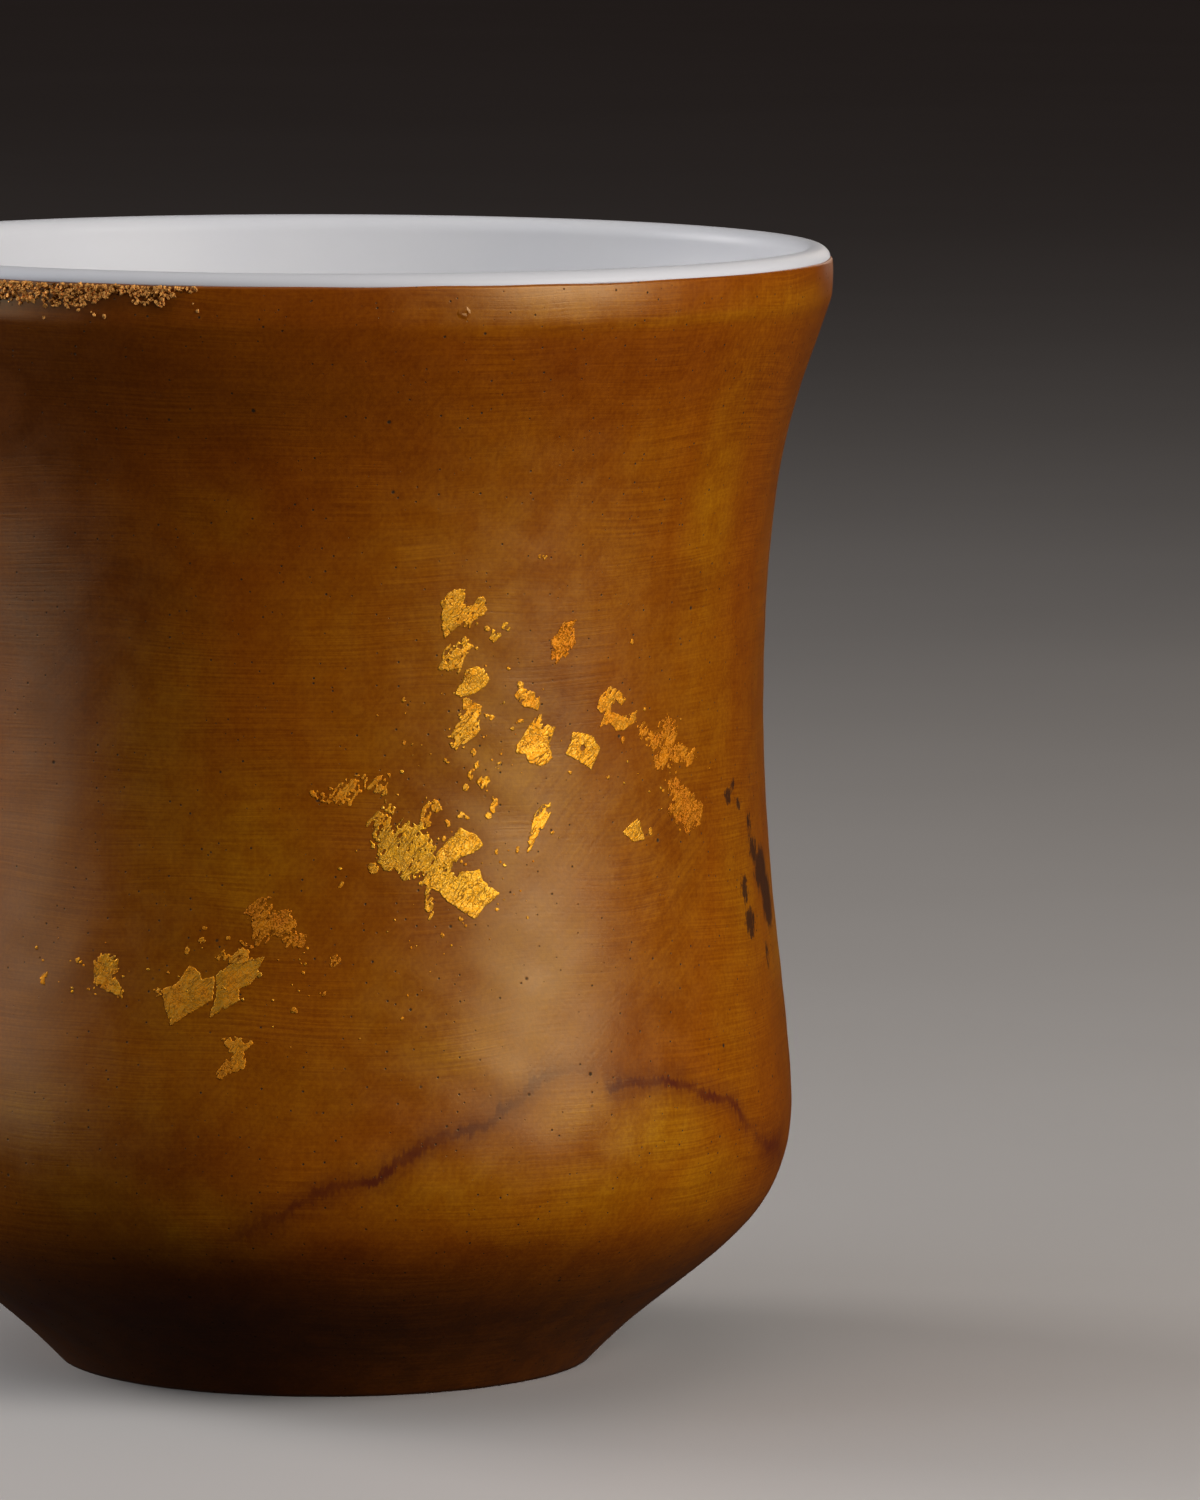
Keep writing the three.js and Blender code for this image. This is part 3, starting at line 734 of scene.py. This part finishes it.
# Sheets of leaf: turn and height of the middle, wear from 0 to 1, depth of tone, and the torn
# outline's corners in mm from the middle (right, up)
SHEETS = [
    # the large torn sheet: body, tail, right lobe, lower wing, twig and stub
    (10.5, 44.6, 0.25, 0.12, [(-3.1, 1.5), (-2.5, 2.4), (-1.1, 2.5), (-0.4, 3.2), (0.1, 2.6),
     (1.0, 2.5), (1.5, 1.9), (2.0, 0.6), (3.2, -0.9), (2.9, -2.5), (2.1, -2.6), (1.3, -3.0),
     (0.6, -1.8), (-0.5, -1.6), (-2.1, -0.8), (-2.8, 0.2)]),
    (6.6, 47.6, 0.25, 0.40, [(-1.3, -0.5), (-0.4, 0.1), (0.2, 0.7), (0.5, 1.5), (1.2, 0.9),
     (0.8, 0.0), (0.8, -0.9), (-0.2, -0.6)]),
    (16.8, 45.4, 0.05, 0.20, [(-1.9, -0.6), (-0.9, 0.3), (0.1, 1.4), (1.5, 0.8), (2.0, 0.0),
     (1.3, -0.6), (0.1, -0.9), (-0.6, -1.7), (-1.7, -1.5)]),
    (17.8, 42.0, 0.03, 0.12, [(-2.9, 1.4), (-1.8, 1.4), (-0.5, 1.3), (1.0, 1.5), (1.3, 0.6),
     (2.7, -0.4), (1.3, -1.5), (0.5, -2.3), (-1.6, -0.9), (-2.3, -0.1), (-3.0, 0.2)]),
    (12.7, 47.9, 0.30, 0.40, [(-0.4, -1.0), (-0.4, 0.6), (0.0, 1.2), (0.3, 0.9), (0.2, 0.2),
     (0.5, -0.7)]),
    (12.9, 40.6, 0.15, 0.35, [(-0.3, 1.0), (0.3, 1.0), (0.3, -0.4), (0.0, -0.9), (-0.3, -0.2)]),
    # the column of sheets above it
    (17.2, 63.9, 0.14, 0.30, [(-1.7, 0.4), (-1.2, 1.1), (-0.4, 1.45), (0.2, 1.35), (0.0, 0.4),
     (0.5, -0.1), (0.9, 0.1), (1.2, 0.7), (1.6, 0.8), (2.1, 0.0), (2.0, -0.7), (1.4, -0.7),
     (1.2, -1.3), (0.5, -1.65), (-0.4, -1.3), (-0.8, -1.8), (-1.55, -1.65), (-1.6, -0.4)]),
    (16.3, 60.3, 0.17, 0.30, [(-1.2, -1.1), (-1.1, -0.3), (-0.6, 0.6), (0.0, 1.0), (0.8, 1.2),
     (2.0, 0.4), (1.0, 0.0), (0.7, -0.4), (0.5, -1.0), (-0.3, -1.3)]),
    (18.6, 58.1, 0.02, 0.22, [(-1.5, -0.9), (-0.8, 0.0), (-0.5, 0.9), (0.3, 1.2), (0.9, 1.0),
     (1.5, 0.1), (1.0, -0.5), (0.0, -1.0), (-0.9, -1.2)]),
    (18.0, 55.0, 0.14, 0.28, [(-0.6, 1.8), (0.0, 1.9), (0.6, 1.5), (1.2, 1.1), (1.0, 0.2),
     (1.0, -0.8), (0.1, -1.5), (-0.9, -2.2), (-1.5, -1.7), (-1.2, -0.8), (-0.7, 0.0), (-0.5, 1.0)]),
    # the sheets to the right
    (27.3, 53.1, 0.06, 0.35, [(-1.6, -0.1), (-1.0, 0.6), (-0.6, 1.3), (0.0, 1.9), (0.6, 2.4),
     (0.6, 1.5), (1.8, 1.1), (1.3, -0.1), (1.6, -1.4), (0.5, -1.8), (-0.5, -1.5), (-0.8, -0.8),
     (-1.6, -0.7)]),
    (34.5, 52.3, 0.04, 0.25, [(-1.0, 1.5), (0.0, 1.33), (1.03, 0.95), (1.7, 0.0), (1.25, -0.8),
     (0.83, -1.55), (-0.27, -0.9), (-1.62, -0.2), (-1.17, 0.62)]),
    (31.4, 60.8, 0.10, 0.90, [(0.0, 1.6), (1.1, 1.7), (0.9, 0.9), (1.1, -0.1), (0.3, -1.0),
     (-0.7, -1.55), (-1.1, -1.2), (-1.2, 0.2), (-0.6, 0.7)]),
    (39.6, 55.2, 0.10, 0.50, [(-0.5, 1.9), (0.5, 1.5), (1.2, 0.8), (0.7, 0.4), (0.1, 0.9),
     (-0.4, 0.3), (-0.4, -0.1), (0.8, -0.5), (2.5, -0.2), (2.2, -1.0), (1.0, -1.6), (0.2, -1.5),
     (-0.6, -0.9), (-1.5, -1.2), (-1.3, -0.2), (-1.8, 0.4), (-1.4, 1.2)]),
    (26.2, 56.6, 0.10, 0.45, [(-1.3, 0.3), (-0.5, 0.9), (0.4, 0.5), (1.1, 0.3), (0.9, -0.9),
     (-0.3, -0.6)]),
    (42.9, 45.6, 0.0, 0.25, [(-1.4, 0.0), (-0.5, 0.5), (0.5, 0.95), (1.1, -0.8), (-0.2, -0.8)]),
    (26.9, 46.8, 0.15, 0.30, [(1.6, 1.6), (1.5, 0.6), (0.9, -0.3), (0.5, -0.9), (-0.5, -2.2),
     (-0.5, -1.3), (-0.1, -0.4), (0.2, 0.6), (0.9, 1.4)]),
    (49.6, 51.9, 0.27, 0.85, [(-3.9, 2.3), (-2.7, 2.1), (-2.0, 1.0), (-1.1, 1.2), (-1.2, 2.1),
     (-0.2, 2.5), (1.2, 1.7), (1.1, 0.4), (1.9, -0.1), (3.6, -0.6), (3.9, -1.3), (2.1, -1.9),
     (1.1, -1.4), (0.2, -1.6), (-1.6, -1.6), (-1.9, -0.6), (-2.3, 0.2), (-3.4, 1.0)]),
    (53.0, 47.2, 0.25, 1.0, [(-2.5, 2.1), (-1.0, 2.1), (0.7, 1.0), (2.5, -0.4), (2.0, -1.7),
     (0.1, -2.3), (-1.2, -1.5), (-2.2, -0.5), (-2.0, 0.7)]),
    # the sheets to the left
    (2.4, 50.0, 0.32, 0.60, [(-2.6, -0.3), (-1.0, 0.1), (0.2, 0.7), (1.1, 1.1), (2.0, 0.6),
     (1.2, -0.3), (0.6, -1.3), (-0.9, -1.1), (-1.8, -1.0)]),
    (6.8, 50.2, 0.22, 0.50, [(-1.0, 0.0), (-0.2, 0.6), (0.7, 0.9), (0.6, 0.0), (0.4, -0.8),
     (-0.9, -0.4)]),
    (-27.5, 35.2, 0.12, 0.48, [(-1.4, 0.9), (-0.8, 1.5), (0.5, 1.4), (0.8, 0.4), (0.5, -0.3),
     (1.4, -1.3), (1.2, -1.8), (0.3, -1.4), (-0.7, -1.2), (-1.4, -1.5), (-1.3, -0.3)]),
    (-17.0, 34.2, 0.03, 0.50, [(-2.25, 0.0), (-0.9, 0.5), (-0.4, 1.3), (0.1, 1.9), (0.9, 1.5),
     (1.1, 0.9), (2.05, 1.2), (2.0, -0.6), (1.0, -1.2), (-1.3, -2.7), (-1.8, -1.3)]),
    (-11.2, 34.9, 0.06, 0.50, [(-1.42, 0.6), (-0.5, 1.35), (0.6, 1.7), (2.3, 2.1), (1.8, 0.7),
     (1.3, 0.0), (0.4, -0.4), (0.4, -1.3), (-0.5, -1.8), (-1.9, -2.7), (-1.4, -1.2),
     (-1.42, -0.4)]),
    (-11.0, 37.0, 0.16, 0.68, [(-1.8, -0.2), (-1.0, 0.4), (-0.4, -0.1), (0.3, 0.6), (1.1, 0.3),
     (1.3, -0.4), (0.2, -0.6), (-0.8, -0.5)]),
    (-6.3, 38.9, 0.22, 0.95, [(-2.3, 1.4), (-1.5, 2.4), (-0.4, 2.6), (-0.3, 1.6), (1.2, 1.7),
     (1.6, 0.6), (1.4, 0.1), (2.5, -0.2), (2.2, -1.1), (0.9, -1.1), (0.6, -0.4), (-0.2, -0.2),
     (-0.8, -0.8), (-1.9, -1.3), (-1.6, -0.5), (-1.6, 0.2)]),
    (-10.6, 29.6, 0.12, 0.62, [(-1.3, 1.0), (-0.1, 1.15), (1.1, 0.8), (0.8, 0.3), (0.4, 0.1),
     (0.7, -0.5), (0.5, -1.3), (-0.5, -1.5), (-1.2, -2.1), (-1.7, -1.9), (-1.2, -1.0), (-0.6, -0.2),
     (-0.7, 0.3)]),
]

# Small scraps: turn, height, width, height in mm, tilt in degrees, depth of tone
SCRAPS = [
    (27.8, 67.6, 0.85, 0.42, 3, 0.3), (20.6, 62.2, 0.6, 0.35, -20, 0.3),
    (21.6, 61.6, 0.95, 1.0, 30, 0.15), (23.0, 62.3, 0.9, 0.8, -15, 0.2),
    (16.8, 59.0, 0.4, 0.55, 10, 0.3), (21.0, 55.3, 0.8, 0.5, -10, 0.3),
    (25.2, 57.6, 0.5, 0.7, 25, 0.3), (25.3, 54.9, 0.5, 0.35, 0, 0.5),
    (15.2, 52.0, 0.4, 0.5, 35, 0.4), (18.8, 52.6, 0.5, 0.55, 20, 0.3),
    (19.2, 51.6, 0.4, 0.7, -15, 0.3), (18.4, 50.8, 0.4, 0.8, 15, 0.3),
    (17.8, 49.9, 0.45, 0.55, -10, 0.3), (20.2, 50.2, 1.2, 1.15, 15, 0.3),
    (22.2, 51.5, 0.35, 0.9, -48, 0.3), (21.5, 48.4, 0.6, 1.3, -8, 0.3),
    (20.8, 47.6, 0.45, 0.45, 0, 0.3), (16.9, 39.8, 0.5, 0.4, 15, 0.5),
    (17.3, 47.7, 1.1, 0.55, -8, 0.3), (15.4, 47.2, 0.3, 0.7, 12, 0.4),
    (14.9, 46.0, 0.3, 0.35, 5, 0.4), (13.9, 48.5, 0.8, 1.15, 20, 0.5),
    (42.4, 60.5, 0.35, 0.5, 10, 0.6), (40.9, 52.9, 0.5, 0.6, 10, 0.7),
    (45.7, 45.4, 0.35, 0.6, 10, 0.4), (5.9, 43.8, 0.75, 0.85, -30, 0.3),
    (17.2, 39.4, 0.45, 0.3, 20, 0.4), (24.7, 44.9, 0.25, 0.6, -20, 0.4),
    (22.9, 43.7, 0.45, 0.3, -35, 0.4), (9.0, 49.5, 0.3, 0.2, 0, 0.5),
    (-37.0, 34.4, 0.55, 1.3, -25, 0.5), (-35.0, 37.5, 0.4, 0.4, 0, 0.8),
    (-31.9, 36.0, 0.6, 0.45, 0, 0.5), (-21.0, 34.0, 0.65, 0.7, 0, 0.6),
    (-17.2, 37.3, 0.35, 0.65, -10, 0.6), (-15.4, 38.1, 0.55, 0.5, 0, 0.6),
    (-15.0, 39.1, 0.45, 0.3, 20, 0.6), (-12.0, 38.3, 0.35, 0.4, 0, 0.6),
    (-10.2, 38.0, 0.8, 0.3, -30, 0.7), (15.3, 61.8, 0.7, 0.9, 10, 0.35),
    (1.0, 36.7, 0.75, 1.1, -40, 0.9), (-0.4, 34.2, 0.65, 0.4, 0, 0.8),
    (-3.7, 32.9, 0.6, 0.5, -20, 0.6), (1.9, 42.6, 0.2, 0.6, -25, 0.6),
    (23.5, 59.0, 0.3, 0.25, 0, 0.4), (38.5, 50.0, 0.3, 0.25, 0, 0.5),
]


# Clusters of specks: turn, height, spread in degrees and in mm, and how many
CLUSTERS = [(19.5, 54, 5.0, 5.5, 46), (20, 44, 7.0, 5.0, 44), (-12, 35, 9, 4, 30),
            (5, 33, 8, 4, 8), (48, 50, 5, 5, 22), (-30, 36, 4, 3, 16), (10, 38, 5, 2, 14)]
SPECKS_BEHIND = 26
SCRAP_CORNERS, SCRAP_WEAR = 9, 0.12


def scrap_outlines():
    """The scraps as rough polygons of nine corners, larger ones given above and specks by chance."""
    draw = np.random.default_rng(23)
    rows = [row + (SCRAP_WEAR,) for row in SCRAPS]
    for turn, height, wide, tall, count in CLUSTERS:
        for _ in range(count):
            size = 0.10 + 0.22 * draw.random() ** 3
            rows.append((turn + draw.normal(0, wide), height + draw.normal(0, tall / 2),
                         size * draw.uniform(0.8, 1.6), size, draw.uniform(-90, 90),
                         draw.uniform(0.1, 0.8), 0.0))
    for turn in draw.uniform(95, 265, SPECKS_BEHIND):
        size = 0.3 + 1.9 * draw.random() ** 2
        rows.append((turn, 42 + 0.10 * (turn - 180) + draw.normal(0, 7),
                     size * draw.uniform(0.7, 1.5), size, draw.uniform(-90, 90),
                     draw.uniform(0.2, 0.8), 0.15))
    for turn, height, wide, tall, tilt, tone, wear in rows:
        around = np.linspace(0, TURN, SCRAP_CORNERS, endpoint=False)
        around = around + draw.uniform(-0.25, 0.25, SCRAP_CORNERS)
        reach = draw.uniform(0.65, 1.15, SCRAP_CORNERS) / 2
        x, y = wide * reach * np.cos(around), tall * reach * np.sin(around)
        c, d = math.cos(math.radians(tilt)), math.sin(math.radians(tilt))
        yield turn, height, wear, tone, np.column_stack([x * c - y * d, x * d + y * c])


# Holes torn in the middle of a sheet: turn, height, radius in mm
HOLES = [(34.5, 52.5, 0.26), (23.1, 62.2, 0.14), (15.7, 60.4, 0.13), (15.3, 59.8, 0.12),
         (16.8, 60.9, 0.10), (15.8, 64.6, 0.12), (18.6, 55.6, 0.10)]

LEAF_CELL, LEAF_LIFT, LEAF_THICKNESS = 0.069, 0.022, 0.012
SLIT_LENGTH, SLIT_WIDTH, SLIT_LEAN = 0.85, 0.15, (0.57, 0.82)
GRAIN_WIDTH, GRAIN_HEIGHT, EDGE_WEAR_REACH = 0.16, 0.21, 0.40


def leaf_patch(turn, height, wear, tone, corners):
    """One torn sheet as cells of a fine grid laid on the lacquer.

    A cell is kept where (distance to the outline + ragged noise) is below zero and the leaf
    isn't worn through, which it is first along its edge and in slanting slits; corners on the
    edge slide along the field's slope onto its zero line.
    """
    corners = np.array(corners, float)
    low, high = corners.min(0) - 0.4, corners.max(0) + 0.4
    x, y = np.meshgrid(np.arange(low[0], high[0], LEAF_CELL), np.arange(low[1], high[1], LEAF_CELL))
    about_x, about_y = x + 3.1 * turn, y + height
    field = outline_distance(x, y, corners)
    lean_x, lean_y = SLIT_LEAN
    along, across = lean_x * about_x + lean_y * about_y, lean_x * about_y - lean_y * about_x
    slits = value_noise(along / SLIT_LENGTH, across / SLIT_WIDTH + 9)
    grains = value_noise(about_x / GRAIN_WIDTH, about_y / GRAIN_HEIGHT + 50)
    near_edge = np.exp(np.minimum(field, 0) / EDGE_WEAR_REACH)
    grainy = min(0.45 + 2.5 * max(wear - 0.27, 0), 0.85)
    holes = (1 - grainy) * slits + grainy * grains - 1.0 + wear + 0.28 * near_edge
    ragged = 0.04 + 0.36 * min(wear, 0.35)
    field = field - ragged / 2 + ragged * torn(about_x, about_y, 0.8)
    field = field + 0.07 * torn(about_x + 40, about_y, 0.22) + 0.8 * min(wear, 0.3) * (slits - 0.5)
    field = np.maximum(field, 0.30 * holes)
    for hole_turn, hole_height, size in HOLES:
        away = np.hypot(x - math.radians(hole_turn - turn) * WAIST_RADIUS, y - hole_height + height)
        field = np.maximum(field, size - away + 0.16 * torn(about_x, about_y + 20, 0.3))
    slope_y, slope_x = np.gradient(field, LEAF_CELL)
    steep = np.maximum(slope_x ** 2 + slope_y ** 2, 0.05)
    push = np.clip(-field / np.sqrt(steep), -0.45 * LEAF_CELL, 0.45 * LEAF_CELL) / np.sqrt(steep)
    middle = (field[:-1, :-1] + field[1:, :-1] + field[:-1, 1:] + field[1:, 1:]) / 4
    kept = middle < 0
    around = np.zeros(field.shape, int)
    for i in (0, 1):
        for j in (0, 1):
            around[i:i + kept.shape[0], j:j + kept.shape[1]] += kept
    edge = (around > 0) & (around < 4)
    x = np.where(edge, x + push * slope_x, x)
    y = np.where(edge, y + push * slope_y, y)
    number = np.cumsum((around > 0).ravel()).reshape(field.shape) - 1
    row, column = np.nonzero(kept)
    faces = np.stack([number[row, column], number[row, column + 1],
                      number[row + 1, column + 1], number[row + 1, column]], -1)
    used = around > 0
    radius = np.interp(height + y[used], wall_line[:, 1], wall_line[:, 0])
    angle = math.radians(turn) + x[used] / radius
    crumple = 0.012 * torn(about_x[used], about_y[used] + 90, 0.5)
    points = on_wall(angle, height + y[used], LEAF_LIFT + crumple)
    tones = tone + 0.25 * torn(about_x[used] + 70, about_y[used], 1.1)
    return points, faces, np.clip(tones, 0, 1)


def join(parts):
    """Several sets of points, faces and tones as one."""
    starts = np.cumsum([0] + [len(p) for p, _, _ in parts])
    points = np.concatenate([p for p, _, _ in parts])
    faces = np.concatenate([f + start for (_, f, _), start in zip(parts, starts)])
    return points, faces, np.concatenate([t for _, _, t in parts])


def torn_leaf():
    """All the torn sheets and scraps as one piece of leaf, given its thickness by a Solidify."""
    rows = [*SHEETS, *scrap_outlines()]
    parts = [part for part in (leaf_patch(*row) for row in rows) if len(part[1])]
    points, faces, tones = join(parts)
    piece = make_piece("gold_leaf_sheets", points, faces.tolist(), gold_leaf)
    add_field(piece, "tone", tones)
    thick = piece.modifiers.new("thickness", "SOLIDIFY")
    thick.thickness, thick.offset = LEAF_THICKNESS * MM, -1


# How far down the band the crumbs reach, by turn: depth in mm. Then how many are thrown, how
# many of them stay by turn, and single ones lower down: turn, depth
CRUMB_DEPTH = np.array([(-66, 0.0), (-60, 0.9), (-50, 1.5), (-42, 1.2), (-37, 1.7), (-34, 1.5),
                        (-31, 1.9), (-28, 1.9), (-26, 1.5), (-24.0, 0.6), (-22.2, 0.6), (-21, 1.3),
                        (-19.5, 1.6), (-18, 1.4), (-17, 0.7), (-15, 0.35), (-13, 0.0)])
CRUMBS_THROWN = 1900
CRUMBS_KEPT = np.array([(-24, 0.95), (-18, 0.80), (-16, 0.45)])
STRAY_CRUMBS = np.array([(-26.3, 2.0), (-24.8, 2.3), (-26.0, 2.2), (-14.0, 1.7), (-14.5, 1.2),
                         (-32.3, 2.6)])
CRUMB_SIDES, CRUMB_RINGS, CRUMB_DOME = 6, np.array([1.0, 0.6, 0.0]), np.array([-0.2, 0.46, 0.58])
DARK_SHARE, DARK_TONE = 0.16, 1.8


def rim_crumbs():
    """Gold crumbs set in the rim band: jagged chips of six sides, thick under the lip.

    Each chip is a rim of six corners and a raised, ragged inner ring closed by a point.
    """
    draw = np.random.default_rng(12)
    turn = draw.uniform(-65, -12, CRUMBS_THROWN)
    share = draw.random(CRUMBS_THROWN) ** 1.25
    deep = np.interp(turn, *CRUMB_DEPTH.T) * (1 + 0.25 * np.sin(turn * 2.9) * np.sin(turn * 1.1))
    chance = np.clip(deep / 1.5, 0, 1) * np.interp(turn, *CRUMBS_KEPT.T)
    keep = draw.random(CRUMBS_THROWN) < chance
    turn = np.concatenate([turn[keep], STRAY_CRUMBS[:, 0]])
    height = COAT_TOP - 0.14 - np.concatenate([(0.88 * share * deep)[keep], STRAY_CRUMBS[:, 1]])
    count, sides = len(turn), CRUMB_SIDES
    size = draw.uniform(0.10, 0.27, count)
    spin = draw.uniform(0, TURN, count)[:, None] + np.linspace(0, TURN, sides, endpoint=False)
    ragged = draw.uniform(0.55, 1.25, (count, 1, sides))
    reach = size[:, None, None] * ragged * CRUMB_RINGS[None, :, None]
    across = reach * np.cos(spin)[:, None, :]
    up = reach * np.sin(spin)[:, None, :]
    lean = draw.normal(0, 0.35, (count, 2))
    tilt = across * lean[:, 0, None, None] + up * lean[:, 1, None, None]
    rough = draw.uniform(-0.22, 0.22, (count, 1, sides))
    inner_ring, off_rim = np.array([0, 1, 0])[:, None], np.array([0, 1, 1])[:, None]
    dome = CRUMB_DOME[None, :, None] + rough * inner_ring
    lift = np.maximum(size[:, None, None] * dome + tilt * off_rim, -0.05)
    angle = np.radians(turn)[:, None, None] + across / BAND_RADIUS
    points = on_wall(angle, height[:, None, None] + up, lift).reshape(-1, 3)
    side = np.arange(sides)
    after = (side + 1) % sides
    chip = np.vstack([np.stack([ring * sides + side, ring * sides + after,
                                (ring + 1) * sides + after, (ring + 1) * sides + side], -1)
                      for ring in (0, 1)])
    starts = np.arange(count) * sides * len(CRUMB_RINGS)
    faces = (starts[:, None, None] + chip[None]).reshape(-1, 4)
    dark = draw.random(count) < DARK_SHARE
    tones = np.where(dark, DARK_TONE, 0.7 * draw.random(count) ** 2)
    tones = np.repeat(tones, sides * len(CRUMB_RINGS))
    piece = make_piece("rim_gold_crumbs", points, faces.tolist(), gold_leaf)
    piece.data.polygons.foreach_set("use_smooth", np.zeros(len(piece.data.polygons), bool))
    add_field(piece, "tone", tones)
    add_field(piece, "pale", np.where(tones > 1, 0, 1))


torn_leaf()
rim_crumbs()


def floor():
    """A plain pale floor, wide enough to fill the view."""
    material, s, surface = new_material("pale_floor")
    cloud = s.group(SOFT_CLOUD, Vector=s.place(), Scale=0.004, Detail=4.0, Low=0.3, High=0.7)
    s.join(s.mix(cloud, (0.56, 0.53, 0.50, 1), (0.60, 0.57, 0.54, 1)), surface["Base Color"])
    surface["Roughness"].default_value = 0.6
    half = 12.0
    mesh = bpy.data.meshes.new("floor")
    corners = [(-half, -half, 0), (half, -half, 0), (half, half, 0), (-half, half, 0)]
    mesh.from_pydata(corners, [], [(0, 1, 2, 3)])
    mesh.materials.append(material)
    plane = bpy.data.objects.new("floor", mesh)
    plane.visible_diffuse = False
    plane.visible_glossy = False
    bpy.context.scene.collection.objects.link(plane)


def area_light(name, location, wide, tall, power, colour):
    """A soft light that the camera doesn't see, pointing down until it is turned."""
    light = bpy.data.lights.new(name, "AREA")
    light.shape = "RECTANGLE"
    light.size, light.size_y = wide, tall
    light.energy, light.color = power, colour
    lamp = bpy.data.objects.new(name, light)
    lamp.location = location
    lamp.visible_camera = False
    bpy.context.scene.collection.objects.link(lamp)
    return lamp


def softbox(name, turn, distance, low, high, width, power, colour, spread):
    """A tall soft light standing round the cup at a turn from the front, aimed at its middle."""
    angle = math.radians(turn)
    at = (distance * math.sin(angle), -distance * math.cos(angle), (low + high) / 2)
    lamp = area_light(name, at, width, high - low, power, colour)
    lamp.data.spread = math.radians(spread)
    towards = Vector((0, 0, 0.045)) - lamp.location
    lamp.rotation_euler = towards.to_track_quat("-Z", "Y").to_euler()


def camera():
    """The photograph's view: from the front, a little above, aimed right of the cup."""
    distance, height = 802.9, 138.6
    yaw, pitch, roll = 0.02752, 0.11101, 0.00375
    focal_pixels, long_side_pixels, sensor = 10014, 1500, 36
    data = bpy.data.cameras.new("camera")
    data.sensor_width = sensor
    data.lens = focal_pixels / long_side_pixels * sensor
    view = bpy.data.objects.new("camera", data)
    turn = Matrix.Rotation(-yaw, 4, "Z") @ Matrix.Rotation(math.pi / 2 - pitch, 4, "X")
    view.matrix_world = (Matrix.Translation((0, -distance * MM, height * MM)) @ turn
                         @ Matrix.Rotation(roll, 4, "Z"))
    bpy.context.scene.collection.objects.link(view)
    bpy.context.scene.camera = view


floor()
camera()
# Softboxes: turn in degrees; distance, foot, top and width in metres; power, colour, spread
softbox("key_light", 54, 0.42, 0.042, 0.35, 0.246, 1.13, (1.0, 0.985, 0.98), 150)
softbox("left_light", -79, 0.22, 0.002, 0.28, 0.14, 0.135, (0.78, 0.87, 1.0), 150)
softbox("inner_light", -115, 0.8, 0.25, 0.5, 0.4, 2.0, (1.0, 0.97, 0.96), 150)
softbox("back_light", 160, 0.8, 0.03, 0.5, 0.06, 0.030, (1.0, 0.85, 0.70), 50)
area_light("top_light", (-0.3, -0.4, 1.0), 1.5, 1.5, 3.0, (1.0, 0.985, 0.98))

world = bpy.data.worlds.new("studio")
world.use_nodes = True
world.node_tree.nodes["Background"].inputs["Color"].default_value = (0.021, 0.016, 0.015, 1)
bpy.context.scene.world = world
bpy.context.scene.view_settings.view_transform = "Standard"
